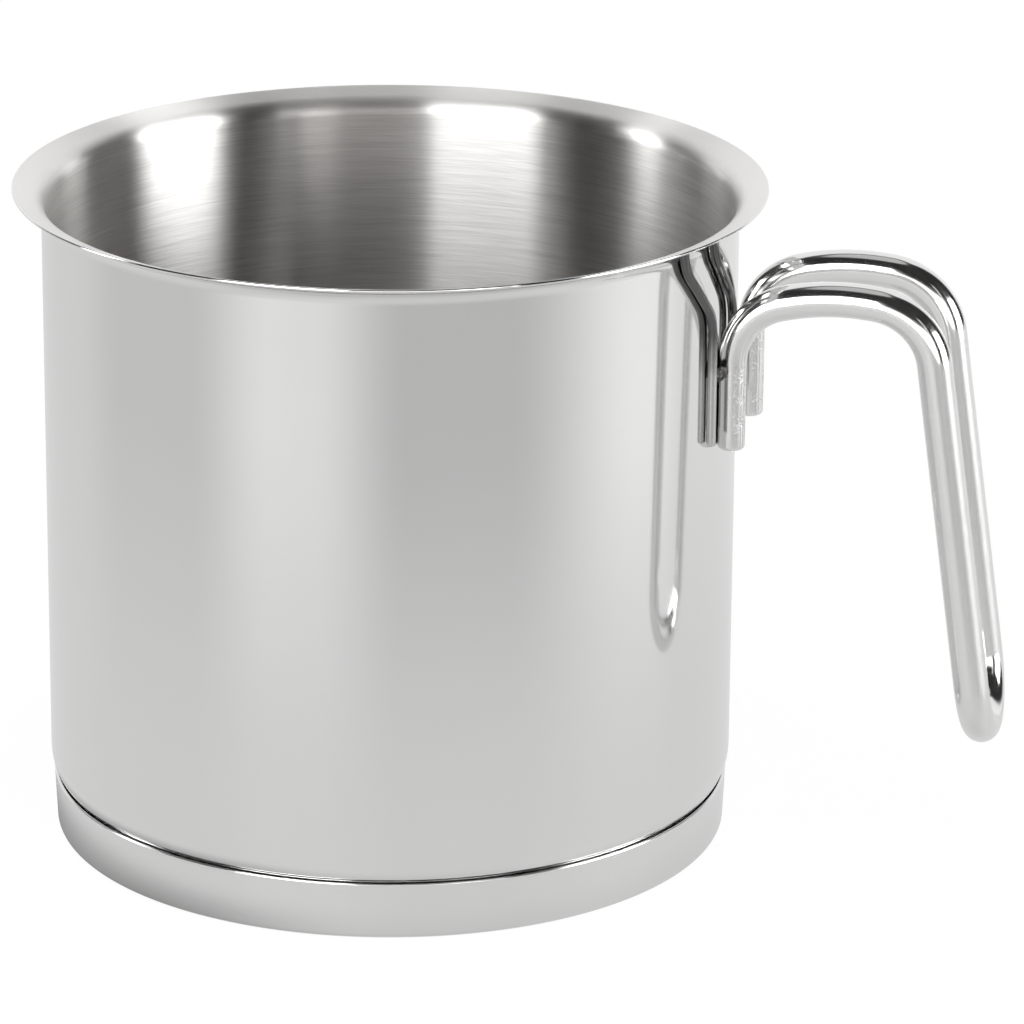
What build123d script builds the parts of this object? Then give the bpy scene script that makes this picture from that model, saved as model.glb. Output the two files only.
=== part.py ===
from build123d import *
from math import acos, asin, cos, degrees, radians, sin, sqrt, tan
import os

# Milk pan, in millimetres. The origin is the centre of the base's underside, +Z is up,
# and the handle points along +X. Angles round the pan are measured from +X.

# Drawn steel body
wall_radius = 70.0
wall_thickness = 0.7
pan_height = 135.5
corner_radius = 10.0
flare_width = 5.8
flare_bend_radius = 3.3
flare_angle = 70.0

# Encapsulated base: an aluminium core inside a steel cap
cap_thickness = 0.6
core_thickness = 6.4
seam_inset = 0.6
seam_gap = 0.45
cap_taper = 2.5
cap_corner_radius = 1.5
core_side_clearance = 0.1
core_edge_relief = 2.0

# Handle: one rod bent into a hairpin, drawn thinner at the two upright legs. The depths
# are measured down from where the lip starts to flare.
rod_diameter = 7.0
leg_diameter = 5.5
leg_end_round = 0.9
rod_spacing = 23.0
leg_bottom_depth = 42.45
leg_top_depth = 24.25
root_bend_radius = 12.9
root_rise_angle = 14.5
crown_radius = 48.0
crown_fall_angle = 8.0
outer_bend_radius = 13.9
drop_lean_angle = 8.0
drop_length = 67.5

# Two bracket wires that run from under the lip to either side of the near leg, with
# depths measured as the handle's are and gaps measured along the wall, from the leg
wire_diameter = 1.9
wire_end_round = 0.4
wire_bottom_depth = 39.9
wire_low_bend_depth = 13.9
wire_high_bend_depth = 0.9
wire_bend_radius = 9.0
wire_stand_off = 0.15
wire_swing_angle = 9.8
front_wire_gap = 3.2
rear_wire_gap = 1.5

# Weld beads that bridge the near leg and the bracket wires
bead_depth = 25.9
bead_height = 3.4
bead_thickness = 1.7

# Clearance between curved faces that meet
seat_clearance = 0.05

# Points and levels closer together than this count as the same
same_place = 0.001

# Places that follow from the sizes above
half_wall = wall_thickness / 2
flare_middle = flare_bend_radius + half_wall
flare_bend_end = wall_radius + flare_bend_radius - flare_middle * cos(radians(flare_angle))
cone_run = wall_radius + flare_width - half_wall - flare_bend_end
cone_length = cone_run / sin(radians(flare_angle))
flare_rise = flare_middle * sin(radians(flare_angle)) + cone_length * cos(radians(flare_angle))
flare_start = pan_height - half_wall - flare_rise
flare_heading = 90 - flare_angle
flare_end_angle = 180 - flare_angle
body_floor = cap_thickness + core_thickness
corner_x = wall_radius - corner_radius
corner_z = body_floor + corner_radius
cap_outer_top = wall_radius - seam_inset
cap_inner_top = cap_outer_top - cap_thickness
cap_height = corner_z - sqrt(corner_radius**2 - (cap_inner_top - corner_x) ** 2) - seam_gap
leg_reach = wall_radius + seat_clearance + leg_diameter / 2
leg_offset = rod_spacing / 2
leg_x = sqrt(leg_reach**2 - leg_offset**2)
leg_bottom = flare_start - leg_bottom_depth
leg_top = flare_start - leg_top_depth
leg_angle = -degrees(asin(leg_offset / leg_reach))
wire_reach = wall_radius + wire_stand_off + wire_diameter / 2
touching = (leg_diameter + wire_diameter) / 2
front_wire_angle = leg_angle - degrees((touching + front_wire_gap) / leg_reach)
rear_wire_angle = leg_angle + degrees((touching + rear_wire_gap) / leg_reach)


def flat(x, z):
    """A point of a profile in the XZ plane."""
    return Vector(x, 0, z)


def ring_point(reach, angle, height):
    """A point at a distance from the pan's axis, an angle from +X and a height."""
    return Vector(reach * cos(radians(angle)), reach * sin(radians(angle)), height)


def circle_point(centre, radius, angle):
    """A profile point on a circle, at an angle from +X towards +Z."""
    return centre + flat(radius * cos(radians(angle)), radius * sin(radians(angle)))


def profile_arc(centre, radius, start, end):
    """A profile arc about a centre, from one angle to another."""
    angles = (start, (start + end) / 2, end)
    return ThreePointArc(*[circle_point(centre, radius, angle) for angle in angles])


def closed_profile(pieces):
    """Join points and arcs in order, with straight lines between, into one face."""
    edges = []
    ends = []
    for piece in pieces:
        is_point = isinstance(piece, Vector)
        ends.append((piece, piece) if is_point else (piece @ 0, piece @ 1))
        if not is_point:
            edges.append(piece)
    for (_, leave), (arrive, _) in zip(ends, ends[1:] + ends[:1]):
        if (arrive - leave).length > same_place:
            edges.append(Line(leave, arrive))
    return make_face(edges)


def round_edge(solid, height, radius):
    """Round the widest circular edge at a height."""
    circles = solid.edges().filter_by(GeomType.CIRCLE)
    level = [edge for edge in circles if abs(edge.center().Z - height) < same_place]
    return fillet(max(level, key=lambda edge: edge.radius), radius)


def pan_body():
    """The drawn shell: flat bottom, rounded corner, straight wall, and a lip that bends
    outwards and ends in a straight cone with a rounded edge."""
    corner = flat(corner_x, corner_z)
    flare = flat(wall_radius + flare_bend_radius, flare_start)
    lip = circle_point(circle_point(flare, flare_middle, flare_end_angle), cone_length, flare_heading)
    profile = closed_profile([
        flat(0, body_floor),
        profile_arc(corner, corner_radius, -90, 0),
        profile_arc(flare, flare_bend_radius, 180, flare_end_angle),
        profile_arc(lip, half_wall, -flare_angle, flare_end_angle),
        profile_arc(flare, flare_bend_radius + wall_thickness, flare_end_angle, 180),
        profile_arc(corner, corner_radius - wall_thickness, 0, -90),
        flat(0, body_floor + wall_thickness),
    ])
    return revolve(profile, Axis.Z)


def cap_side(radius_at_top, height):
    """The radius of the cap's leaning side at a height."""
    return radius_at_top - (cap_height - height) * tan(radians(cap_taper))


def base_core():
    """The aluminium disc that fills the cap and follows the body's corner upwards."""
    edge_radius = corner_radius + core_edge_relief
    edge = flat(corner_x, body_floor + edge_radius)
    top_x = cap_side(cap_inner_top, body_floor) - core_side_clearance
    end_angle = -degrees(acos((top_x - corner_x) / edge_radius))
    bottom_x = cap_side(cap_inner_top, cap_thickness) - core_side_clearance
    profile = closed_profile([
        flat(0, cap_thickness),
        flat(bottom_x, cap_thickness),
        profile_arc(edge, edge_radius, end_angle, -90),
        flat(0, body_floor),
    ])
    return round_edge(revolve(profile, Axis.Z), cap_thickness, cap_corner_radius)


def base_cap():
    """The steel dish that closes the base, with a leaning side and rounded edges."""
    profile = closed_profile([
        flat(0, 0),
        flat(cap_side(cap_outer_top, 0), 0),
        flat(cap_outer_top, cap_height),
        flat(cap_inner_top, cap_height),
        flat(cap_side(cap_inner_top, cap_thickness), cap_thickness),
        flat(0, cap_thickness),
    ])
    cap = round_edge(revolve(profile, Axis.Z), 0, cap_corner_radius)
    return round_edge(cap, cap_thickness, cap_corner_radius - cap_thickness)


def turn_down(point, heading, radius, turn):
    """Follow an arc that bends down by a turn: its middle, its end and the new heading."""
    centre = circle_point(point, radius, heading - 90)
    middle = circle_point(centre, radius, heading + 90 - turn / 2)
    return middle, circle_point(centre, radius, heading + 90 - turn), heading - turn


def rod_stations():
    """Profile points of one side of the handle, from the leg's top to the hairpin's end."""
    top = flat(leg_x, leg_top)
    root_mid, root, heading = turn_down(top, 90, root_bend_radius, 90 - root_rise_angle)
    crown_mid, crown, heading = turn_down(root, heading, crown_radius, root_rise_angle + crown_fall_angle)
    outer_turn = 90 - crown_fall_angle - drop_lean_angle
    outer_mid, outer, heading = turn_down(crown, heading, outer_bend_radius, outer_turn)
    drop = circle_point(outer, drop_length, heading)
    tip = circle_point(drop, leg_offset, heading)
    return top, root_mid, root, crown_mid, crown, outer_mid, outer, drop, tip


def disc(path, place, diameter):
    """A round section square to a path at its start (0) or end (1)."""
    return Plane(origin=path @ place, z_dir=path % place) * Circle(diameter / 2)


def handle_rod():
    """The hairpin: two upright legs, two tapered bends and the grip, in one piece."""
    top, root_mid, root, crown_mid, crown, outer_mid, outer, drop, tip = rod_stations()
    near = Vector(0, -leg_offset, 0)
    far = Vector(0, leg_offset, 0)
    grip_path = Wire([
        ThreePointArc(root + near, crown_mid + near, crown + near),
        ThreePointArc(crown + near, outer_mid + near, outer + near),
        Line(outer + near, drop + near),
        ThreePointArc(drop + near, tip, drop + far),
        Line(drop + far, outer + far),
        ThreePointArc(outer + far, outer_mid + far, crown + far),
        ThreePointArc(crown + far, crown_mid + far, root + far),
    ])
    handle = sweep(disc(grip_path, 0, rod_diameter), path=grip_path)
    for side in (near, far):
        bend = ThreePointArc(top + side, root_mid + side, root + side)
        sections = [disc(bend, 0, leg_diameter), disc(bend, 1, rod_diameter)]
        handle += sweep(sections, path=bend, multisection=True)
        leg = Cylinder(leg_diameter / 2, leg_top - leg_bottom, align=(Align.CENTER, Align.CENTER, Align.MIN))
        leg = fillet(leg.edges().sort_by(Axis.Z)[0], leg_end_round)
        handle += Pos(leg_x, side.Y, leg_bottom) * leg
    return handle


def lip_trimmer():
    """The ring of space that the lip fills, with a clearance below it."""
    flare = flat(wall_radius + flare_bend_radius, flare_start)
    inside = flare_bend_radius - seat_clearance
    edge = circle_point(circle_point(flare, inside, flare_end_angle), cone_length, flare_heading)
    top = pan_height + wall_thickness
    profile = closed_profile([
        profile_arc(flare, inside, 180, flare_end_angle),
        edge,
        flat(edge.X, top),
        flat(corner_x, top),
        flat(corner_x, flare_start),
    ])
    return revolve(profile, Axis.Z)


def bracket_wire(low_angle):
    """A wire that stands beside the near leg, then swings along the wall up to the lip."""
    high_angle = low_angle - wire_swing_angle
    low_bend = flare_start - wire_low_bend_depth
    high_bend = flare_start - wire_high_bend_depth
    path = FilletPolyline(
        ring_point(wire_reach, low_angle, flare_start - wire_bottom_depth),
        ring_point(wire_reach, low_angle, low_bend),
        ring_point(wire_reach, (low_angle + high_angle) / 2, (low_bend + high_bend) / 2),
        ring_point(wire_reach, high_angle, high_bend),
        ring_point(wire_reach, high_angle, pan_height),
        radius=wire_bend_radius,
    )
    wire = sweep(disc(path, 0, wire_diameter), path=path)
    return fillet(wire.edges().sort_by(Axis.Z)[0], wire_end_round) - lip_trimmer()


def weld_bead(wire_angle):
    """A bead across the gap from the near leg to a wire, clear of both and of the wall."""
    bead_level = flare_start - bead_depth
    leg = Vector(leg_x, -leg_offset, bead_level)
    wire = ring_point(wire_reach, wire_angle, bead_level)
    along = (leg - wire).normalized()
    section = Plane(origin=wire, x_dir=(0, 0, 1), z_dir=along) * Ellipse(bead_height / 2, bead_thickness / 2)
    bead = extrude(section, (leg - wire).length)
    for place, radius in ((leg, leg_diameter / 2), (wire, wire_diameter / 2)):
        bead -= Pos(*place) * Cylinder(radius + seat_clearance, bead_height + bead_thickness)
    return bead


pieces = {
    "pan_body": pan_body(),
    "base_core": base_core(),
    "base_cap": base_cap(),
    "handle_rod": handle_rod(),
    "bracket_front": bracket_wire(front_wire_angle),
    "bracket_rear": bracket_wire(rear_wire_angle),
    "weld_front": weld_bead(front_wire_angle),
    "weld_rear": weld_bead(rear_wire_angle),
}
os.makedirs("parts", exist_ok=True)
for name, piece in pieces.items():
    export_step(piece, f"parts/{name}.step")
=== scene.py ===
"""Milk pan: a drawn steel body on a thick base, with a hairpin handle and two bracket wires.

The pan's axis is +Z, its base stands on z = 0 and the handle points along +X. Lengths are
in metres. The viewer stands on the -Y side, a little towards the handle.
"""

from math import acos, atan2, cos, pi, radians, sin, sqrt, tan

import bmesh
import bpy
from bpy.props import FloatProperty, FloatVectorProperty, PointerProperty
from mathutils import Euler, Matrix, Vector, noise


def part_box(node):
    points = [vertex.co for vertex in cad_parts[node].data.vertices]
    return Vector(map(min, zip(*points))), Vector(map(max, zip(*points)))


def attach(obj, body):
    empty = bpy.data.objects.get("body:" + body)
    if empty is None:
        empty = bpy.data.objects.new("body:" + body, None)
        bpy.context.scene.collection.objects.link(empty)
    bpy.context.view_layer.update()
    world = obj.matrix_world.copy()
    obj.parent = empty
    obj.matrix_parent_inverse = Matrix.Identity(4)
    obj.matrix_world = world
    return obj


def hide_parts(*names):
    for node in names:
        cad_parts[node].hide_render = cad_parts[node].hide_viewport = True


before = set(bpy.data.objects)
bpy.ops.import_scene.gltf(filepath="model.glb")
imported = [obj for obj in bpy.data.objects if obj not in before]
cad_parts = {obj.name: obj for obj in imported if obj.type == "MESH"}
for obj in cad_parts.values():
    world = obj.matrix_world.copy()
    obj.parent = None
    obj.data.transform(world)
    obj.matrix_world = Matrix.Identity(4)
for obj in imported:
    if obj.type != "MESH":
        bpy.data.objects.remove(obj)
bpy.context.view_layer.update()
body_low, body_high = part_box("pan_body")
cap_low, cap_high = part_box("base_cap")

bl_info = {
    "name": "Milk pan",
    "version": (1, 0, 0),
    "blender": (4, 5, 0),
    "location": "3D View > Sidebar > Milk Pan",
    "description": "Builds a steel milk pan piece by piece, with its materials and studio",
    "category": "Add Mesh",
}

MM = 0.001
UP = Vector((0, 0, 1))
SIDEWAYS = Vector((0, 1, 0))
OUTWARD = Vector((1, 0, 0))
WELD_DISTANCE = MM / 10000

# Fineness of the meshes
LATHE_STEPS = 360
CORNER_STEPS = 24
LIP_STEPS = 12
FOOT_STEPS = 16
BROW_STEPS = 6
WALL_RINGS = 24
BODY_HOLD = 0.15 * MM
CAP_HOLD = 0.1 * MM
ROD_SIDES = 72
ROD_STEP = 2.0 * MM
BEND_STEP = radians(2.0)
END_STEPS = 8
BEAD_SUBDIVISIONS = 5

# Where the welding pitted the legs: outwards of the leg's axis up to a place on X, above the
# leg's lower end and below its upper one
PIT_SIDE = 0.8 * MM
PIT_STOP = 76.5 * MM
PIT_FADE = 2.0 * MM
PIT_ABOVE = 3.0 * MM
PIT_BELOW = 1.0 * MM

# A weld bead: shares of the gap and of its height that it fills, and its lumps (how fine, how high)
BEAD_LENGTH_SHARE = 1.25
BEAD_HEIGHT_SHARE = 0.86
BIG_LUMPS = (7, 0.16)
SMALL_LUMPS = (19, 0.07)

# The studio that the metal mirrors, in degrees of azimuth: from, to, soft edge
LEFT_BOX = (-51.5, -13.5, 1.5)
RIGHT_BOX = (61.0, 92.5, 4.0)
LEFT_STRIP = (-103.0, -92.0, 2.5)
THIN_STRIP = (36.2, 37.8, 0.8)
FRONT_ROOM = (-12.0, 33.0, 3.0)
FRONT_PANEL = (19.0, 31.0, 4.0)
LOWER_RIGHT = (46.0, 112.0, 6.0)

# Their brightness, as a share of the light boxes or of the room in front
RIGHT_BOX_SHARE = 1.65
LEFT_STRIP_SHARE = 0.9
THIN_STRIP_SHARE = 0.6
FRONT_PANEL_SHARE = 1.1

# Smooth steps over azimuth or height, in degrees: from, to, value before, value after
BEHIND = (100.0, 112.0, 0.0, 1.0)
BACK_WALL = (122.0, 136.0, 0.0, 1.0)
BOX_FADE = (0.0, 26.0, 1.0, 0.72)
ROOM_FADE = (6.0, 22.0, 1.0, 0.0)
RING_EDGE = (-1.5, 1.5, 1.0, 0.0)
HORIZON = (-6.0, -3.0, 0.0, 1.0)
# Painted shadow of the pan: the table that the metal mirrors darkens steeply below
PAN_SHADOW_BELOW = (-80.0, -50.0, 0.25, 1.0)
LEFT_GLOW_IN = (-70.0, -38.0, 0.0, 1.0)
LEFT_GLOW_OUT = (-26.0, 6.0, 1.0, 0.0)
RIGHT_GLOW_IN = (38.0, 90.0, 0.0, 1.42)
RIGHT_GLOW_OUT = (98.0, 112.0, 0.0, 0.47)
LEFT_SIDE_NEAR = (-70.0, -20.0, 0.25, 0.0)
LEFT_SIDE_FAR = (-125.0, -98.0, 0.3, 0.0)

# Heights of the ring of lights, and the panel overhead, in degrees
RING_TOP = 35.0
RING_TOP_BEHIND = 27.0
RING_DROP_RIGHT = 13.0
PANEL_TILT = 96.0
PANEL_EDGE = 17.5
PANEL_CORE = 16.0

# The table: its radius, then smooth steps along the distance from the pan's axis
TABLE_RADIUS = 8.0
NEAR_TABLE = (110.0 * MM, 410.0 * MM, 0.9, 0.0)
# Painted shadow of the pan on the table that the metal mirrors, close to its foot and on its left
CONTACT_SHADE = (66.0 * MM, 84.0 * MM, 0.65, 0.0)
CONTACT_SIDE = (-55.0 * MM, 0.0, 1.0, 0.15)
TABLE_WHITE = 0.94

# The soft suns: name, share of the key light, azimuth and height in degrees
SUNS = (("key_left", 0.6, -50, 55), ("fill_right", 0.4, 70, 50))
SUN_WIDTH = radians(80)


# Properties


def length(name, description, default):
    """A size of the pan, in metres."""
    return FloatProperty(
        name=name,
        description=description,
        default=default,
        min=0.0,
        precision=5,
        subtype="DISTANCE",
        unit="LENGTH",
    )


def angle(name, description, default):
    """An angle, given in degrees and kept in radians."""
    return FloatProperty(
        name=name,
        description=description,
        default=radians(default),
        subtype="ANGLE",
        unit="ROTATION",
    )


def colour(name, description, default):
    """A metal's colour."""
    return FloatVectorProperty(
        name=name, description=description, default=default, min=0.0, max=1.0, size=3, subtype="COLOR"
    )


def level(name, description, default):
    """A brightness, where 1 is white, or a share."""
    return FloatProperty(name=name, description=description, default=default, min=0.0, precision=3)


class BodySizes(bpy.types.PropertyGroup):
    """Sizes of the drawn body and its base."""

    wall_radius: length("Wall radius", "Outside radius of the straight wall", 70.0 * MM)
    wall_thickness: length("Wall thickness", "Thickness of the drawn sheet", 0.7 * MM)
    rim_radius: length("Rim radius", "Outside radius of the flared lip", -body_low.x)
    height: length("Height", "From the table to the top of the lip", body_high.z)
    floor: length("Floor height", "From the table to the outside of the body's bottom", body_low.z)
    corner_radius: length("Corner radius", "Outside radius between bottom and wall", 10.0 * MM)
    flare_bend: length("Flare bend", "Radius of the bend under the flared lip", 3.3 * MM)
    flare_angle: angle("Flare angle", "How far the lip turns outwards", 70.0)
    cap_radius: length("Cap radius", "Outside radius of the cap at its upper edge", cap_high.x)
    cap_height: length("Cap height", "From the table to the cap's upper edge", cap_high.z)
    cap_thickness: length("Cap thickness", "Thickness of the cap's sheet", 0.6 * MM)
    cap_taper: angle("Cap taper", "Lean of the cap's side", 2.5)
    cap_corner_radius: length("Cap corner radius", "Outside radius at the foot of the cap", 1.5 * MM)
    cap_edge_round: length("Cap edge round", "Rounding of the cap's upper edge", 0.15 * MM)
    core_clearance: length("Core clearance", "Gap between the core's side and the cap", 0.1 * MM)
    core_edge_relief: length("Core edge relief", "How much larger the core's upper edge radius is", 2.0 * MM)


class HandleSizes(bpy.types.PropertyGroup):
    """Sizes of the hairpin handle."""

    rod_diameter: length("Rod diameter", "Diameter of the grip's rod", 7.0 * MM)
    leg_diameter: length("Leg diameter", "Diameter of the two legs on the wall", 5.5 * MM)
    leg_end_round: length("Leg end round", "Rounding of the legs' lower ends", 0.9 * MM)
    spacing: length("Spacing", "Distance between the centres of the two rods", 23.0 * MM)
    seat_clearance: length("Seat clearance", "Gap between the legs and the wall", 0.05 * MM)
    leg_bottom: length("Leg bottom", "Height of the legs' lower ends", 88.03 * MM)
    leg_top: length("Leg top", "Height at which the legs start to bend", 106.23 * MM)
    root_bend_radius: length("Root bend radius", "Bend from a leg into the crown", 12.9 * MM)
    root_rise: angle("Root rise", "Slope of the rod where the crown starts", 14.5)
    crown_radius: length("Crown radius", "Gentle bend over the top", 48.0 * MM)
    crown_fall: angle("Crown fall", "Slope of the rod where the crown ends", 8.0)
    outer_bend_radius: length("Outer bend radius", "Bend from the crown into the grip", 13.9 * MM)
    drop_lean: angle("Drop lean", "Lean of the hanging grip from upright", 8.0)
    drop_length: length("Drop length", "Straight length of the hanging grip", 67.5 * MM)


class WireSizes(bpy.types.PropertyGroup):
    """Sizes of the two bracket wires and their welds."""

    diameter: length("Wire diameter", "Diameter of the bracket wires", 1.9 * MM)
    end_round: length("Wire end round", "Rounding of the wires' lower ends", 0.4 * MM)
    stand_off: length("Stand-off", "Gap between the wires and the wall", 0.15 * MM)
    top_gap: length("Top gap", "Gap between the wires' upper ends and the lip's underside", 0.06 * MM)
    bottom: length("Wire bottom", "Height of the wires' lower ends", 90.59 * MM)
    low_bend: length("Low bend", "Height of the lower bend", 116.58 * MM)
    high_bend: length("High bend", "Height of the upper bend", 129.58 * MM)
    top: length("Wire top", "Height to which the wires are drawn, before the lip trims them", 135.4 * MM)
    bend_radius: length("Bend radius", "Radius of both bends", 9.0 * MM)
    front_low: angle("Front wire, low", "Where the front wire's lower part stands", -14.518)
    front_high: angle("Front wire, high", "Where the front wire's upper end stands", -24.318)
    rear_low: angle("Rear wire, low", "Where the rear wire's lower part stands", -4.996)
    rear_high: angle("Rear wire, high", "Where the rear wire's upper end stands", -14.796)
    bead_level: length("Bead level", "Height of the weld beads", 104.58 * MM)
    bead_height: length("Bead height", "Height of a weld bead", 3.4 * MM)
    bead_thickness: length("Bead thickness", "Thickness of a weld bead", 1.7 * MM)


class Finish(bpy.types.PropertyGroup):
    """Colours of the metals."""

    steel: colour("Steel", "Polished steel of the body and the handle", (0.8, 0.8, 0.795))
    brushed: colour("Brushed steel", "Turned finish inside the body", (0.65, 0.642, 0.63))
    wire: colour("Wire", "Drawn wire of the brackets", (0.6, 0.6, 0.595))
    aluminium: colour("Aluminium", "The core, in the seam", (0.42, 0.42, 0.42))
    weld: colour("Weld", "Weld metal and its scorch", (0.06, 0.058, 0.056))


class Studio(bpy.types.PropertyGroup):
    """Camera and light. Azimuths are counted from the camera's side, positive to the right."""

    camera_azimuth: angle("Camera azimuth", "Turn of the camera from -Y towards the handle", 12.465)
    camera_distance: length("Camera distance", "Level distance from the pan's axis", 1.12087)
    camera_height: length("Camera height", "Height of the camera above the table", 0.45081)
    camera_yaw: angle("Camera yaw", "Turn of the view to the right of the pan's axis", 1.268)
    camera_pitch: angle("Camera pitch", "Tilt of the view below level", 18.974)
    camera_roll: angle("Camera roll", "Roll of the view", 0.443)
    focal_length: FloatProperty(
        name="Focal length", description="In millimetres on the sensor", default=203.81
    )
    table: level("Table", "What polished metal sees of the table before the pan", 0.565)
    near_table: level("Table by the pan", "What polished metal sees of the table close to the pan", 0.74)
    table_glow: level("Table glow", "How much the boxes brighten the table that the metal sees", 0.3)
    boxes: level("Light boxes", "Brightness of the two light boxes, in reflections", 9.3)
    room: level("Room in front", "Brightness of the room before the pan, in reflections", 2.8)
    backdrop: level("Backdrop", "Brightness of the backdrop behind the pan, in reflections", 0.95)
    dark: level("Room", "Brightness of the dark gaps between the lights, in reflections", 0.03)
    ceiling: level("Ceiling panel", "Brightness of the panel overhead, in reflections", 0.55)
    ambient: level("Ambient", "Soft light from all round", 0.7)
    key: level("Key light", "Strength of the soft key light", 2.0)


# Node building


class Field:
    """A number in a node sheet. Python sums and products of fields add Math nodes."""

    def __init__(self, sheet, socket):
        self.sheet, self.socket = sheet, socket

    def math(self, operation, *values):
        inputs = dict(enumerate((self, *values)))
        return self.sheet.field("ShaderNodeMath", {"operation": operation}, inputs)

    def __add__(self, other):
        return self.math("ADD", other)

    def __sub__(self, other):
        return self.math("SUBTRACT", other)

    def __mul__(self, other):
        return self.math("MULTIPLY", other)

    def __truediv__(self, other):
        return self.math("DIVIDE", other)

    def __rsub__(self, other):
        return self.sheet.field("ShaderNodeMath", {"operation": "SUBTRACT"}, {0: other, 1: self})

    __radd__ = __add__
    __rmul__ = __mul__

    def rise(self, start, end, low=0.0, high=1.0):
        """A smooth step from low to high as this number goes from start to end."""
        inputs = {"Value": self, "From Min": start, "From Max": end, "To Min": low, "To Max": high}
        return self.sheet.field("ShaderNodeMapRange", {"interpolation_type": "SMOOTHSTEP"}, inputs)

    def band(self, low, high, soft):
        """1 between low and high and 0 outside, with soft edges."""
        return self.rise(low - soft, low + soft) * self.rise(high - soft, high + soft, 1.0, 0.0)


class Sheet:
    """The nodes of one material or world."""

    def __init__(self, owner):
        owner.use_nodes = True
        self.tree = owner.node_tree
        self.tree.nodes.clear()

    def node(self, kind, settings=None, inputs=None):
        """A node with its settings, then the values or links of its sockets."""
        made = self.tree.nodes.new(kind)
        for name, value in (settings or {}).items():
            setattr(made, name, value)
        for name, value in (inputs or {}).items():
            if isinstance(value, Field):
                self.tree.links.new(value.socket, made.inputs[name])
            else:
                made.inputs[name].default_value = value
        return made

    def field(self, kind, settings=None, inputs=None, output=0):
        """A node as above, and one of its outputs as a field."""
        return Field(self, self.node(kind, settings, inputs).outputs[output])

    def parts(self, vector):
        """The three numbers of a vector."""
        split = self.node("ShaderNodeSeparateXYZ", inputs={0: vector})
        return [Field(self, output) for output in split.outputs]

    def vector(self, x, y, z):
        """A vector of three numbers."""
        return self.field("ShaderNodeCombineXYZ", inputs={0: x, 1: y, 2: z})

    def noise(self, vector, scale, detail=2.0, roughness=0.5):
        """Noise between 0 and 1 on a vector."""
        inputs = {"Vector": vector, "Scale": scale, "Detail": detail, "Roughness": roughness}
        return self.field("ShaderNodeTexNoise", inputs=inputs)

    def tint(self, colour_value, factor):
        """A colour times a number."""
        inputs = {0: (*colour_value,), 3: factor}
        return self.field("ShaderNodeVectorMath", {"operation": "SCALE"}, inputs)

    def rays(self):
        """1 for rays from the camera, and 1 for rays that a metal mirrors."""
        path = self.node("ShaderNodeLightPath")
        return [Field(self, path.outputs[name]) for name in ("Is Camera Ray", "Is Glossy Ray")]

    def bump(self, height, strength, distance):
        """A normal bent by a height."""
        inputs = {"Height": height, "Strength": strength, "Distance": distance}
        return self.field("ShaderNodeBump", inputs=inputs)


class Metal(Sheet):
    """A metal's nodes, with the places that its patterns follow."""

    def __init__(self, name):
        self.material = bpy.data.materials.new(name)
        super().__init__(self.material)
        self.place = self.field("ShaderNodeTexCoord", output="Object")
        self.x, self.y, self.z = self.parts(self.place)
        self.reach = (self.x * self.x + self.y * self.y).math("SQRT")

    def turning_marks(self, along, across):
        """Streaks round the pan's axis: how many marks go round, and how wide one is."""
        turns = along / (2 * pi)
        around = self.vector(
            self.x / self.reach * turns, self.y / self.reach * turns, (self.z - self.reach) / across
        )
        return self.noise(around, 1.0, 3.0, 0.6)

    def cross_scratches(self):
        """Sparse fine scratches that climb across the turning marks."""
        around = self.y.math("ARCTAN2", self.x)
        along = self.z * 12.0 + around * 0.9
        across = (self.z - around * 0.011) / (0.2 * MM)
        marks = self.noise(self.vector(along, across, self.reach * 100.0), 1.0, 2.0, 0.6)
        return marks.rise(0.52, 0.78)

    def finish(self, **inputs):
        """Close the material with its surface."""
        shader = self.node("ShaderNodeBsdfPrincipled", inputs={"Metallic": 1.0})
        for name, value in inputs.items():
            socket = shader.inputs[name.replace("_", " ")]
            if isinstance(value, Field):
                self.tree.links.new(value.socket, socket)
            else:
                socket.default_value = value
        self.node("ShaderNodeOutputMaterial", inputs={0: Field(self, shader.outputs[0])})
        return self.material


def polished_steel(name, tone, roughness):
    """Mirror-polished sheet, with a faint haze and hardly any waviness."""
    metal = Metal(name)
    cloud = metal.noise(metal.place, 60.0, 3.0)
    marks = metal.turning_marks(60.0, 0.35 * MM)
    wave = metal.noise(metal.place, 25.0, 1.0)
    return metal.finish(
        Base_Color=metal.tint(tone, 0.985 + cloud * 0.02 + marks * 0.01),
        Roughness=roughness + cloud * 0.02 + marks * 0.015,
        Normal=metal.bump(wave, 0.25, 0.02 * MM),
    )


def brushed_steel(name, tone, lip_low, lip_high):
    """The turned finish inside the body: fine streaks round the axis that drag light upwards.

    The streaks fade out between the two heights, towards the smooth lip.
    """
    metal = Metal(name)
    fine = metal.turning_marks(34.0, 0.24 * MM)
    coarse = metal.turning_marks(12.0, 1.1 * MM)
    crossed = metal.cross_scratches()
    wall = metal.z.rise(lip_low, lip_high, 1.0, 0.1)
    streaks = (fine * 0.65 + coarse * 0.35 - 0.5) * wall
    return metal.finish(
        Base_Color=metal.tint(tone, 1.25 - wall * 0.26 + streaks * 0.85 + crossed * wall * 0.14),
        Roughness=0.3 + (fine + coarse - 0.5) * 0.05 + crossed * wall * 0.03,
        Anisotropic=1.0,
        Anisotropic_Rotation=0.25,
        Normal=metal.bump(coarse * wall, 0.25, 0.006 * MM),
    )


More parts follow.
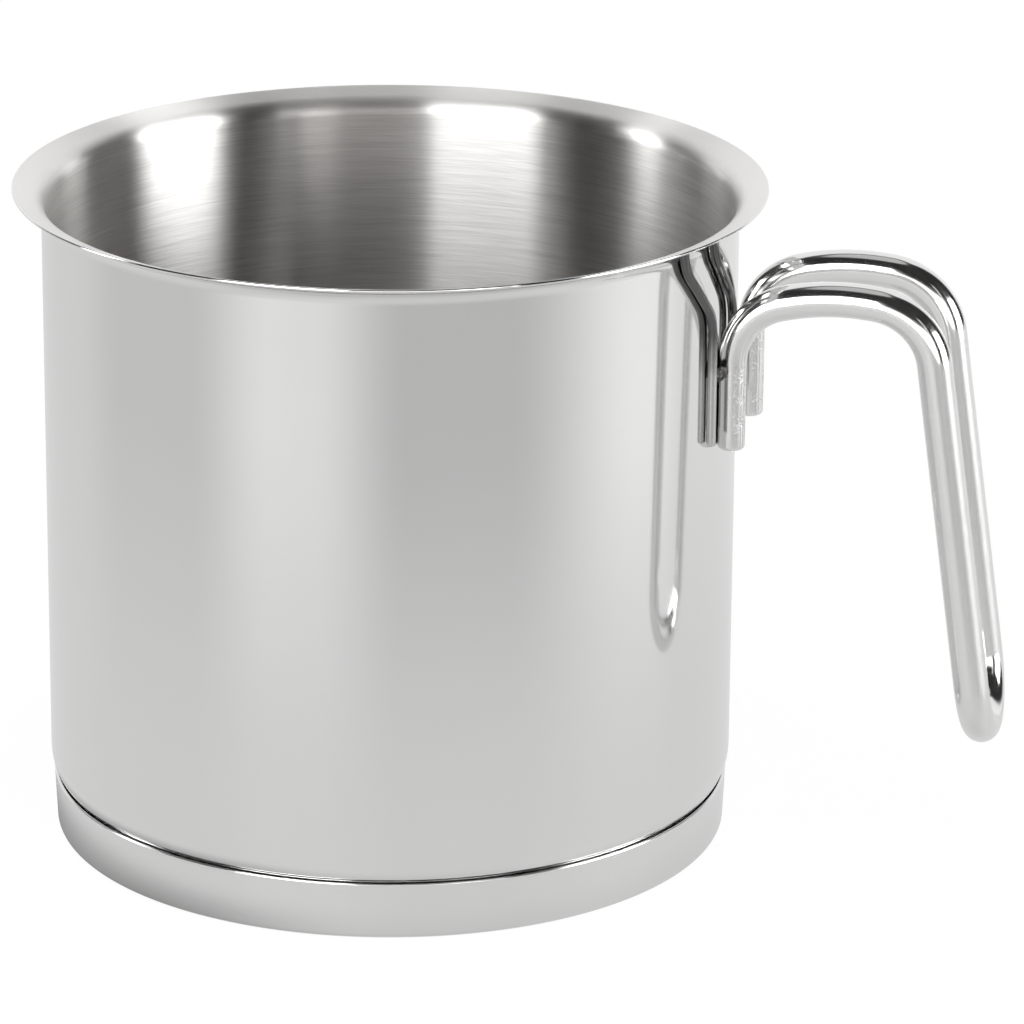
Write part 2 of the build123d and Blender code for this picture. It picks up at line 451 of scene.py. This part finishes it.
def wire_steel(name, tone, dark_from, dark_to):
    """Drawn wire, painted darker above a height: a painted reflection of dark surroundings."""
    metal = Metal(name)
    grain = metal.noise(metal.place, 2500.0, 2.0)
    cloud = metal.noise(metal.place, 300.0, 3.0)
    # Painted reflection: the wire's colour darkens between the two heights, with a cloudy edge
    painted_dark = (metal.z + cloud * 6.0 * MM).rise(dark_from, dark_to)
    return metal.finish(
        Base_Color=metal.tint(tone, 0.97 + cloud * 0.06 - painted_dark * 0.78),
        Roughness=0.1 + grain * 0.05 + painted_dark * 0.04,
        Normal=metal.bump(cloud, 0.3, 0.02 * MM),
    )


def rod_steel(name, tone, pit_start, pit_low, pit_high):
    """Polished rod, with the pitting that welding leaves on the legs between two heights.

    The pits lie on the side that faces away from the wall, from pit_start to PIT_STOP.
    """
    metal = Metal(name)
    grain = metal.noise(metal.place, 2500.0, 2.0)
    cloud = metal.noise(metal.place, 180.0, 2.0)
    spots = metal.noise(metal.place, 2300.0, 2.0).rise(0.5, 0.6)
    patch = metal.noise(metal.place, 330.0, 1.0).rise(0.4, 0.52)
    from_axis = metal.x.rise(pit_start - 0.4 * MM, pit_start)
    outer_side = from_axis * metal.x.rise(PIT_STOP, PIT_STOP + PIT_FADE, 1.0, 0.0)
    pitted = spots * patch * outer_side * metal.z.band(pit_low, pit_high, 1.5 * MM)
    return metal.finish(
        Base_Color=metal.tint(tone, 0.98 + cloud * 0.03 - pitted * 0.4),
        Roughness=0.11 + grain * 0.05 + pitted * 0.25,
        Normal=metal.bump(cloud * 0.05 - pitted, 0.4, 0.03 * MM),
    )


def cast_aluminium(name, tone):
    """The core's bare edge."""
    metal = Metal(name)
    grain = metal.noise(metal.place, 900.0, 3.0)
    return metal.finish(Base_Color=metal.tint(tone, 0.8 + grain * 0.3), Roughness=0.45 + grain * 0.15)


def weld_metal(name, tone):
    """A small weld bead, dark and uneven."""
    metal = Metal(name)
    lumps = metal.noise(metal.place, 900.0, 3.0)
    scorch = metal.noise(metal.place, 1500.0, 2.0).rise(0.35, 0.65)
    return metal.finish(
        Base_Color=metal.tint(tone, 0.5 + scorch * 0.9),
        Roughness=0.22 + lumps * 0.2,
        Normal=metal.bump(lumps, 0.6, 0.15 * MM),
    )


# Turning and bending


class Lathe:
    """A profile drawn in the XZ plane by line and arc, then spun round the pan's axis."""

    def __init__(self, x, z):
        self.mesh = bmesh.new()
        self.end = self.mesh.verts.new((x, 0, z))

    def line(self, x, z, rings=1, hold=0.0):
        """A straight run, with even rings and one more close to each end."""
        start, goal = self.end.co.copy(), Vector((x, 0, z))
        near = hold / (goal - start).length
        shares = [i / rings for i in range(1, rings + 1)]
        if hold:
            shares = sorted([near, 1 - near, *shares])
        for share in shares:
            made = bmesh.ops.extrude_vert_indiv(self.mesh, verts=[self.end])
            self.end = made["verts"][0]
            self.end.co = start.lerp(goal, share)

    def arc(self, centre_x, centre_z, turn, steps):
        """An arc about a centre. A positive turn goes from +X towards +Z."""
        made = bmesh.ops.spin(
            self.mesh,
            geom=[self.end],
            cent=(centre_x, 0, centre_z),
            axis=-SIDEWAYS,
            angle=turn,
            steps=steps,
        )
        self.end = made["geom_last"][0]

    def spin(self):
        """The finished shell, closed at the axis, with its faces outwards."""
        bmesh.ops.spin(
            self.mesh,
            geom=[*self.mesh.verts, *self.mesh.edges],
            cent=(0, 0, 0),
            axis=UP,
            angle=2 * pi,
            steps=LATHE_STEPS,
            use_merge=True,
        )
        bmesh.ops.remove_doubles(self.mesh, verts=self.mesh.verts, dist=WELD_DISTANCE)
        bmesh.ops.recalc_face_normals(self.mesh, faces=self.mesh.faces)
        return self.mesh


class Rod:
    """A round rod drawn by carrying a ring of edges along straight runs and bends."""

    def __init__(self, start, heading, diameter, end_round):
        self.mesh = bmesh.new()
        self.at, self.heading, self.diameter = start.copy(), heading.normalized(), diameter
        facing = self.heading.to_track_quat("Z", "Y").to_matrix().to_4x4()
        bmesh.ops.create_circle(
            self.mesh,
            cap_ends=False,
            segments=ROD_SIDES,
            radius=diameter / 2 - end_round,
            matrix=Matrix.Translation(start) @ facing,
        )
        self.ring = list(self.mesh.edges)
        self.cap()
        self.round_off(end_round, 1)

    def ring_verts(self):
        return list({vert for edge in self.ring for vert in edge.verts})

    def cap(self):
        """Close the ring with a flat face that a ring of quads surrounds."""
        bmesh.ops.contextual_create(self.mesh, geom=self.ring)
        face = self.mesh.faces[:][-1]
        bmesh.ops.inset_region(self.mesh, faces=[face], thickness=self.diameter / 10)
        bmesh.ops.poke(self.mesh, faces=[face])

    def round_off(self, radius, direction, steps=END_STEPS):
        """A quarter round that swells (1) from an end cap, or closes (-1) to one."""
        width = self.diameter / 2
        for step in range(1, steps + 1):
            turn = step / steps * pi / 2
            if direction > 0:
                reach, ahead = width - radius * (1 - sin(turn)), radius * (1 - cos(turn))
                last = radius * (1 - cos((step - 1) / steps * pi / 2))
            else:
                reach, ahead = width - radius * (1 - cos(turn)), radius * sin(turn)
                last = radius * sin((step - 1) / steps * pi / 2)
            self.advance(ahead - last, reach)

    def advance(self, distance, reach):
        """Extrude the ring ahead and give it a new radius."""
        made = bmesh.ops.extrude_edge_only(self.mesh, edges=self.ring)["geom"]
        new = {item for item in made if isinstance(item, bmesh.types.BMVert)}
        edges = [item for item in made if isinstance(item, bmesh.types.BMEdge)]
        self.ring = [edge for edge in edges if new.issuperset(edge.verts)]
        self.at += self.heading * distance
        for vert in self.ring_verts():
            offset = vert.co + self.heading * distance - self.at
            vert.co = self.at + offset.normalized() * reach

    def straight(self, distance, step=ROD_STEP):
        """A straight run."""
        steps = max(1, round(distance / step))
        for _ in range(steps):
            self.advance(distance / steps, self.diameter / 2)

    def bend(self, radius, turn, axis, diameter=None, step=BEND_STEP):
        """A bend about an axis square to the rod, which may draw the rod to another diameter."""
        centre = self.at + axis.cross(self.heading) * radius
        steps = max(1, round(turn / step))
        start = self.diameter
        for count in range(1, steps + 1):
            made = bmesh.ops.spin(
                self.mesh,
                geom=[*self.ring_verts(), *self.ring],
                cent=centre,
                axis=axis,
                angle=turn / steps,
                steps=1,
            )
            self.ring = [item for item in made["geom_last"] if isinstance(item, bmesh.types.BMEdge)]
            swing = Matrix.Rotation(turn / steps, 3, axis)
            self.at = centre + swing @ (self.at - centre)
            self.heading = swing @ self.heading
            if diameter:
                self.diameter = start + (diameter - start) * count / steps
                for vert in self.ring_verts():
                    vert.co = self.at + (vert.co - self.at).normalized() * self.diameter / 2

    def end(self, end_round):
        """Round the end off and close it."""
        self.round_off(end_round, -1)
        self.cap()
        bmesh.ops.remove_doubles(self.mesh, verts=self.mesh.verts, dist=WELD_DISTANCE)
        bmesh.ops.recalc_face_normals(self.mesh, faces=self.mesh.faces)
        return self.mesh


def lip_places(size):
    """The level where the wall starts to flare, then the rounded lip's centre and radius."""
    radius = size.wall_thickness / 2
    bend = size.flare_bend + radius
    lip_x, lip_z = size.rim_radius - radius, size.height - radius
    bend_end = size.wall_radius + size.flare_bend - bend * cos(size.flare_angle)
    run = (lip_x - bend_end) / sin(size.flare_angle)
    start = lip_z - bend * sin(size.flare_angle) - run * cos(size.flare_angle)
    return start, lip_x, lip_z, radius


def under_flare(size, reach):
    """The height of the flare's underside at a distance from the pan's axis."""
    start = lip_places(size)[0]
    across = size.wall_radius + size.flare_bend - reach
    bend_end = size.flare_bend * cos(size.flare_angle)
    if across > bend_end:
        return start + sqrt(size.flare_bend**2 - min(across, size.flare_bend) ** 2)
    return start + size.flare_bend * sin(size.flare_angle) + (bend_end - across) / tan(size.flare_angle)


def add_piece(mesh, name, node, materials, material_of=None):
    """A finished piece of the pan, in the place of its CAD node."""
    for face in mesh.faces:
        face.smooth = True
        if material_of:
            face.material_index = material_of(face)
    data = bpy.data.meshes.new(name)
    mesh.to_mesh(data)
    mesh.free()
    for material in materials:
        data.materials.append(material)
    piece = bpy.data.objects.new(name, data)
    bpy.context.scene.collection.objects.link(piece)
    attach(piece, "root")
    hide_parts(node)
    return piece


# Operators, one for each piece or pair of like pieces


class PieceOperator(bpy.types.Operator):
    """What the operators share."""

    bl_options = {"REGISTER", "UNDO"}

    def execute(self, context):
        self.make(context.scene)
        return {"FINISHED"}


class MILKPAN_OT_body(PieceOperator):
    """Spin the drawn body: bottom, corner, wall, flared lip and the inside"""

    bl_idname = "milkpan.body"
    bl_label = "Drawn Body"

    def make(self, scene):
        size, tone = scene.pan_body, scene.pan_finish
        corner_x = size.wall_radius - size.corner_radius
        corner_z = size.floor + size.corner_radius
        bend_x = size.wall_radius + size.flare_bend
        bend_inside = size.flare_bend + size.wall_thickness
        flare_start, lip_x, lip_z, lip_radius = lip_places(size)
        outward, upward = cos(size.flare_angle), sin(size.flare_angle)
        inside = size.wall_radius - size.wall_thickness

        profile = Lathe(0, size.floor)
        profile.line(corner_x, size.floor, 8)
        profile.arc(corner_x, corner_z, pi / 2, CORNER_STEPS)
        profile.line(size.wall_radius, flare_start, WALL_RINGS, hold=BODY_HOLD)
        profile.arc(bend_x, flare_start, -size.flare_angle, CORNER_STEPS)
        profile.line(lip_x + lip_radius * outward, lip_z - lip_radius * upward, 3)
        profile.arc(lip_x, lip_z, pi, LIP_STEPS)
        profile.line(bend_x - bend_inside * outward, flare_start + bend_inside * upward, 3)
        profile.arc(bend_x, flare_start, size.flare_angle, CORNER_STEPS)
        profile.line(inside, corner_z, WALL_RINGS, hold=BODY_HOLD)
        profile.arc(corner_x, corner_z, -pi / 2, CORNER_STEPS)
        profile.line(0, size.floor + size.wall_thickness, 12, hold=BODY_HOLD)

        def material_of(face):
            """0 for the polished outside and 1 for the turned inside, up to the lip's edge."""
            middle, normal = face.calc_center_median(), face.normal
            inwards = normal.z > upward or normal.x * middle.x + normal.y * middle.y < 0
            return int(inwards and middle.z > size.floor + size.wall_thickness / 2)

        materials = [
            polished_steel("polished_wall", tone.steel, 0.06),
            brushed_steel("turned_inside", tone.brushed, flare_start, lip_z),
        ]
        add_piece(profile.spin(), "drawn_body", "pan_body", materials, material_of)


class MILKPAN_OT_base(PieceOperator):
    """Spin the thick base: the steel cap and the aluminium core inside it"""

    bl_idname = "milkpan.base"
    bl_label = "Encapsulated Base"

    def make(self, scene):
        size, tone = scene.pan_body, scene.pan_finish
        lean = size.cap_taper

        def side(outside, height):
            """Radius of the cap's leaning outer (or inner) side at a height."""
            top = size.cap_radius if outside else size.cap_radius - size.cap_thickness
            return top - (size.cap_height - height) * tan(lean)

        def foot(outside, height, radius):
            """Centre of the rounded foot between the side and a level."""
            return side(outside, height) + radius * tan(lean) - radius / cos(lean), height + radius

        outer, inner = size.cap_corner_radius, size.cap_corner_radius - size.cap_thickness
        outer_x, outer_z = foot(True, 0, outer)
        inner_x, inner_z = foot(False, size.cap_thickness, inner)
        brow = size.cap_edge_round
        top = size.cap_height

        cap = Lathe(0, 0)
        cap.line(outer_x, 0, 8, hold=CAP_HOLD)
        cap.arc(outer_x, outer_z, pi / 2 - lean, FOOT_STEPS)
        cap.line(side(True, top - brow), top - brow, 6, hold=CAP_HOLD)
        cap.arc(side(True, top - brow) - brow, top - brow, pi / 2, BROW_STEPS)
        cap.line(side(False, top) + brow, top)
        cap.arc(side(False, top) + brow, top - brow, pi / 2, BROW_STEPS)
        cap.line(inner_x + inner * cos(lean), inner_z - inner * sin(lean), 2)
        cap.arc(inner_x, inner_z, lean - pi / 2, FOOT_STEPS // 2)
        cap.line(0, size.cap_thickness, 6)
        materials = [polished_steel("polished_cap", tone.steel, 0.12)]
        add_piece(cap.spin(), "base_dish", "base_cap", materials)

        edge_radius = size.corner_radius + size.core_edge_relief
        edge_x = size.wall_radius - size.corner_radius
        floor = size.floor
        top_x = side(False, floor) - size.core_clearance
        bottom_x = inner_x + inner * cos(lean) - size.core_clearance
        end_turn = acos((top_x - edge_x) / edge_radius)
        core = Lathe(0, size.cap_thickness)
        core.line(inner_x, size.cap_thickness, 4)
        core.line(bottom_x, inner_z, 2)
        core.line(top_x, floor + edge_radius * (1 - sin(end_turn)), 2)
        core.arc(edge_x, floor + edge_radius, end_turn - pi / 2, CORNER_STEPS // 2)
        core.line(0, floor, 4)
        materials = [cast_aluminium("core_aluminium", tone.aluminium)]
        add_piece(core.spin(), "core_disc", "base_core", materials)


class MILKPAN_OT_handle(PieceOperator):
    """Bend the hairpin handle from one rod"""

    bl_idname = "milkpan.handle"
    bl_label = "Hairpin Handle"

    def make(self, scene):
        size, tone = scene.pan_handle, scene.pan_finish
        reach = scene.pan_body.wall_radius + size.seat_clearance + size.leg_diameter / 2
        half = size.spacing / 2
        leg_x = sqrt(reach**2 - half**2)
        leg = size.leg_top - size.leg_bottom - size.leg_end_round
        root_turn = pi / 2 - size.root_rise
        crown_turn = size.root_rise + size.crown_fall
        outer_turn = pi / 2 - size.crown_fall - size.drop_lean

        rod = Rod(Vector((leg_x, -half, size.leg_bottom)), UP, size.leg_diameter, size.leg_end_round)
        rod.straight(leg)
        rod.bend(size.root_bend_radius, root_turn, SIDEWAYS, size.rod_diameter)
        rod.bend(size.crown_radius, crown_turn, SIDEWAYS)
        rod.bend(size.outer_bend_radius, outer_turn, SIDEWAYS)
        rod.straight(size.drop_length)
        rod.bend(half, pi, rod.heading.cross(SIDEWAYS))
        rod.straight(size.drop_length)
        rod.bend(size.outer_bend_radius, outer_turn, -SIDEWAYS)
        rod.bend(size.crown_radius, crown_turn, -SIDEWAYS)
        rod.bend(size.root_bend_radius, root_turn, -SIDEWAYS, size.leg_diameter)
        rod.straight(leg)
        pit_levels = (size.leg_bottom + PIT_ABOVE, size.leg_top - PIT_BELOW)
        materials = [rod_steel("polished_rod", tone.steel, leg_x + PIT_SIDE, *pit_levels)]
        add_piece(rod.end(size.leg_end_round), "hairpin_handle", "handle_rod", materials)


class MILKPAN_OT_brackets(PieceOperator):
    """Bend the two bracket wires and lay them round the wall"""

    bl_idname = "milkpan.brackets"
    bl_label = "Bracket Wires"

    def make(self, scene):
        size, tone = scene.pan_wires, scene.pan_finish
        wall = scene.pan_body.wall_radius
        reach = wall + size.stand_off + size.diameter / 2
        # The wires are painted darker from the beads upwards: a painted dark reflection
        material = wire_steel("drawn_wire", tone.wire, size.bead_level, size.low_bend)

        def lay_on_wall(point):
            """Roll a point of the wire, drawn flat at X = 0, round the wall and under the lip."""
            out = reach + point.x
            turn = point.y / reach
            ceiling = under_flare(scene.pan_body, out) - size.top_gap
            return Vector((out * cos(turn), out * sin(turn), min(point.z, ceiling)))

        sides = (("front", size.front_low, size.front_high), ("rear", size.rear_low, size.rear_high))
        for side, low, high in sides:
            swing = atan2((high - low) * reach, size.high_bend - size.low_bend)
            cut = size.bend_radius * tan(abs(swing) / 2)
            slope = (size.high_bend - size.low_bend) / cos(swing)
            wire = Rod(Vector((0, low * reach, size.bottom)), UP, size.diameter, size.end_round)
            wire.straight(size.low_bend - cut - size.bottom - size.end_round)
            wire.bend(size.bend_radius, abs(swing), OUTWARD)
            wire.straight(slope - 2 * cut)
            wire.bend(size.bend_radius, abs(swing), -OUTWARD)
            wire.straight(size.top - size.high_bend - cut - size.end_round)
            mesh = wire.end(size.end_round)
            for vert in mesh.verts:
                vert.co = lay_on_wall(vert.co)
            add_piece(mesh, f"bracket_wire_{side}", f"bracket_{side}", [material])


class MILKPAN_OT_welds(PieceOperator):
    """Form the lumpy weld beads between the near leg and the bracket wires"""

    bl_idname = "milkpan.welds"
    bl_label = "Weld Beads"

    def make(self, scene):
        size, handle = scene.pan_wires, scene.pan_handle
        wall = scene.pan_body.wall_radius
        reach = wall + size.stand_off + size.diameter / 2
        leg_reach = wall + handle.seat_clearance + handle.leg_diameter / 2
        half = handle.spacing / 2
        leg = Vector((sqrt(leg_reach**2 - half**2), -half, size.bead_level))
        material = weld_metal("weld_bead", scene.pan_finish.weld)
        for side, turn in (("front", size.front_low), ("rear", size.rear_low)):
            wire = Vector((reach * cos(turn), reach * sin(turn), size.bead_level))
            along = (leg - wire).normalized()
            start = wire + along * size.diameter / 2
            stop = leg - along * handle.leg_diameter / 2
            bead = bmesh.new()
            bmesh.ops.create_icosphere(bead, subdivisions=BEAD_SUBDIVISIONS, radius=0.5)
            for vert in bead.verts:
                big = BIG_LUMPS[1] * noise.noise(vert.co * BIG_LUMPS[0] + start / MM)
                small = SMALL_LUMPS[1] * noise.noise(vert.co * SMALL_LUMPS[0])
                vert.co *= 1 + big + small
            facing = along.to_track_quat("X", "Z").to_matrix().to_4x4()
            gap = (stop - start).length
            spread = (
                gap * BEAD_LENGTH_SHARE,
                size.bead_thickness,
                size.bead_height * BEAD_HEIGHT_SHARE,
            )
            shape = Matrix.Translation((start + stop) / 2) @ facing @ Matrix.Diagonal((*spread, 1))
            bmesh.ops.transform(bead, matrix=shape, verts=bead.verts)
            bmesh.ops.recalc_face_normals(bead, faces=bead.faces)
            add_piece(bead, f"weld_bead_{side}", f"weld_{side}", [material])


class MILKPAN_OT_stage(PieceOperator):
    """Set the floor, the soft light, the studio that the metal mirrors, and the camera"""

    bl_idname = "milkpan.stage"
    bl_label = "Stage"

    def make(self, scene):
        studio = scene.pan_studio
        self.lay_floor(scene, studio)
        self.hang_lights(scene, studio)
        self.paint_studio(scene, studio)
        self.place_camera(scene, studio)
        scene.view_settings.view_transform = "Standard"

    def lay_floor(self, scene, studio):
        """A white table.

        Away from the pan, mirror rays pass it, because the world below the horizon stands for
        it there. Close to the pan they see a glowing grey, with a painted shadow by the pan's foot.
        """
        bed = bmesh.new()
        bmesh.ops.create_circle(bed, cap_ends=True, segments=96, radius=TABLE_RADIUS)
        data = bpy.data.meshes.new("table")
        bed.to_mesh(data)
        bed.free()
        material = bpy.data.materials.new("white_table")
        sheet = Sheet(material)
        camera, mirror = sheet.rays()
        matt = sheet.field("ShaderNodeBsdfDiffuse", inputs={"Color": (0.9, 0.9, 0.9, 1)})
        white = sheet.field("ShaderNodeEmission", inputs={"Color": (1, 1, 1, 1), "Strength": 1.0})
        clear = sheet.field("ShaderNodeBsdfTransparent")
        x, y, _ = sheet.parts(sheet.field("ShaderNodeTexCoord", output="Object"))
        reach = (x * x + y * y).math("SQRT")
        right = x * cos(studio.camera_azimuth) + y * sin(studio.camera_azimuth)
        # Painted shadow: the table that the metal mirrors darkens close to the pan's foot, on its left
        shade = reach.rise(*CONTACT_SHADE) * right.rise(*CONTACT_SIDE)
        painted_shadow_level = (1 - shade) * studio.near_table
        even = sheet.field("ShaderNodeEmission", inputs={"Color": (1, 1, 1, 1), "Strength": painted_shadow_level})
        near = reach.rise(*NEAR_TABLE)
        seen = sheet.field("ShaderNodeMixShader", inputs={0: camera * TABLE_WHITE, 1: matt, 2: white})
        mirrored = sheet.field("ShaderNodeMixShader", inputs={0: near, 1: clear, 2: even})
        shader = sheet.field("ShaderNodeMixShader", inputs={0: mirror, 1: seen, 2: mirrored})
        sheet.node("ShaderNodeOutputMaterial", inputs={0: shader})
        data.materials.append(material)
        table = bpy.data.objects.new("table", data)
        scene.collection.objects.link(table)

    def hang_lights(self, scene, studio):
        """Two broad suns, whose mirror images the studio's panels stand for."""
        for name, share, azimuth, height in SUNS:
            lamp = bpy.data.lights.new(name, "SUN")
            lamp.energy = studio.key * share
            lamp.angle = SUN_WIDTH
            sun = bpy.data.objects.new(name, lamp)
            turn = studio.camera_azimuth + radians(azimuth)
            sun.rotation_euler = Euler((radians(90 - height), 0, turn))
            sun.visible_glossy = False
            scene.collection.objects.link(sun)

    def paint_studio(self, scene, studio):
        """The world: white to the camera, soft to matt surfaces, and a studio to the metal."""
        world = bpy.data.worlds.new("studio")
        world.cycles.sampling_method = "NONE"
        scene.world = world
        sheet = Sheet(world)
        camera, mirror = sheet.rays()
        x, y, z = sheet.parts(sheet.field("ShaderNodeTexCoord", output="Generated"))
        turn = studio.camera_azimuth
        right = x * cos(turn) + y * sin(turn)
        front = x * sin(turn) - y * cos(turn)
        azimuth = right.math("ARCTAN2", front) * (180 / pi)
        height = z.math("ARCSINE") * (180 / pi)
        aside = azimuth.math("ABSOLUTE")

        front_room = azimuth.band(*FRONT_ROOM)
        strips = azimuth.band(*LEFT_STRIP) * LEFT_STRIP_SHARE + azimuth.band(*THIN_STRIP) * THIN_STRIP_SHARE
        fading = (azimuth.band(*LEFT_BOX) + strips) * height.rise(*BOX_FADE)
        boxes = fading + azimuth.band(*RIGHT_BOX) * RIGHT_BOX_SHARE
        room = (front_room + azimuth.band(*FRONT_PANEL) * FRONT_PANEL_SHARE) * height.rise(*ROOM_FADE)
        backdrop = aside.rise(*BACK_WALL) * studio.backdrop
        ring = boxes * studio.boxes + room * studio.room + backdrop + studio.dark
        lowered = azimuth.band(*LOWER_RIGHT) * RING_DROP_RIGHT
        ring_top = aside.rise(*BEHIND) * RING_TOP_BEHIND + RING_TOP - lowered
        in_ring = (height - ring_top).rise(*RING_EDGE)
        towards_panel = front * cos(radians(PANEL_TILT)) + z * sin(radians(PANEL_TILT))
        panel = towards_panel.rise(cos(radians(PANEL_EDGE)), cos(radians(PANEL_CORE)))
        upper = ring * in_ring + (1 - in_ring) * (studio.dark + panel * studio.ceiling)

        left_glow = azimuth.rise(*LEFT_GLOW_IN) * azimuth.rise(*LEFT_GLOW_OUT)
        right_glow = azimuth.rise(*RIGHT_GLOW_IN) - azimuth.rise(*RIGHT_GLOW_OUT)
        left_side = azimuth.rise(*LEFT_SIDE_NEAR) + azimuth.rise(*LEFT_SIDE_FAR)
        table = studio.table + (left_glow + right_glow + left_side) * studio.table_glow
        above = height.rise(*HORIZON)
        # Below the horizon, the mirrored table: painted glow from the boxes, and a painted shadow of the pan
        # steeply below
        seen = upper * above + table * height.rise(*PAN_SHADOW_BELOW) * (1 - above)

        light = mirror * seen + (1 - mirror) * studio.ambient
        background = camera + (1 - camera) * light
        warm = front_room * mirror * above
        tone = sheet.field(
            "ShaderNodeMix",
            {"data_type": "RGBA"},
            {0: warm, 6: (1, 1, 1, 1), 7: (1.0, 0.97, 0.95, 1)},
            output=2,
        )
        shader = sheet.field("ShaderNodeBackground", inputs={"Color": tone, "Strength": background})
        sheet.node("ShaderNodeOutputWorld", inputs={0: shader})

    def place_camera(self, scene, studio):
        """The camera where the photograph was taken from."""
        data = bpy.data.cameras.new("camera")
        data.lens = studio.focal_length
        data.clip_start = 0.1
        camera = bpy.data.objects.new("camera", data)
        turn = studio.camera_azimuth
        camera.location = (
            studio.camera_distance * sin(turn),
            -studio.camera_distance * cos(turn),
            studio.camera_height,
        )
        aim = Matrix.Rotation(turn - studio.camera_yaw, 3, "Z")
        tilt = Matrix.Rotation(pi / 2 - studio.camera_pitch, 3, "X")
        roll = Matrix.Rotation(studio.camera_roll, 3, "Z")
        camera.rotation_euler = (aim @ tilt @ roll).to_euler()
        scene.collection.objects.link(camera)
        scene.camera = camera


OPERATORS = (
    MILKPAN_OT_body,
    MILKPAN_OT_base,
    MILKPAN_OT_handle,
    MILKPAN_OT_brackets,
    MILKPAN_OT_welds,
    MILKPAN_OT_stage,
)


class MILKPAN_PT_panel(bpy.types.Panel):
    """The pan's pieces and sizes in the sidebar"""

    bl_idname = "MILKPAN_PT_panel"
    bl_label = "Milk Pan"
    bl_space_type = "VIEW_3D"
    bl_region_type = "UI"
    bl_category = "Milk Pan"

    def draw(self, context):
        for operator in OPERATORS:
            self.layout.operator(operator.bl_idname)
        for name in GROUPS:
            group = getattr(context.scene, name)
            box = self.layout.box()
            for key in group.__annotations__:
                box.prop(group, key)


GROUPS = {
    "pan_body": BodySizes,
    "pan_handle": HandleSizes,
    "pan_wires": WireSizes,
    "pan_finish": Finish,
    "pan_studio": Studio,
}


def register():
    for kind in (*GROUPS.values(), *OPERATORS, MILKPAN_PT_panel):
        bpy.utils.register_class(kind)
    for name, kind in GROUPS.items():
        setattr(bpy.types.Scene, name, PointerProperty(type=kind))


def unregister():
    for name in GROUPS:
        delattr(bpy.types.Scene, name)
    for kind in reversed((*GROUPS.values(), *OPERATORS, MILKPAN_PT_panel)):
        bpy.utils.unregister_class(kind)


def main():
    register()
    bpy.ops.milkpan.body()
    bpy.ops.milkpan.base()
    bpy.ops.milkpan.handle()
    bpy.ops.milkpan.brackets()
    bpy.ops.milkpan.welds()
    bpy.ops.milkpan.stage()


if __name__ == "__main__":
    main()
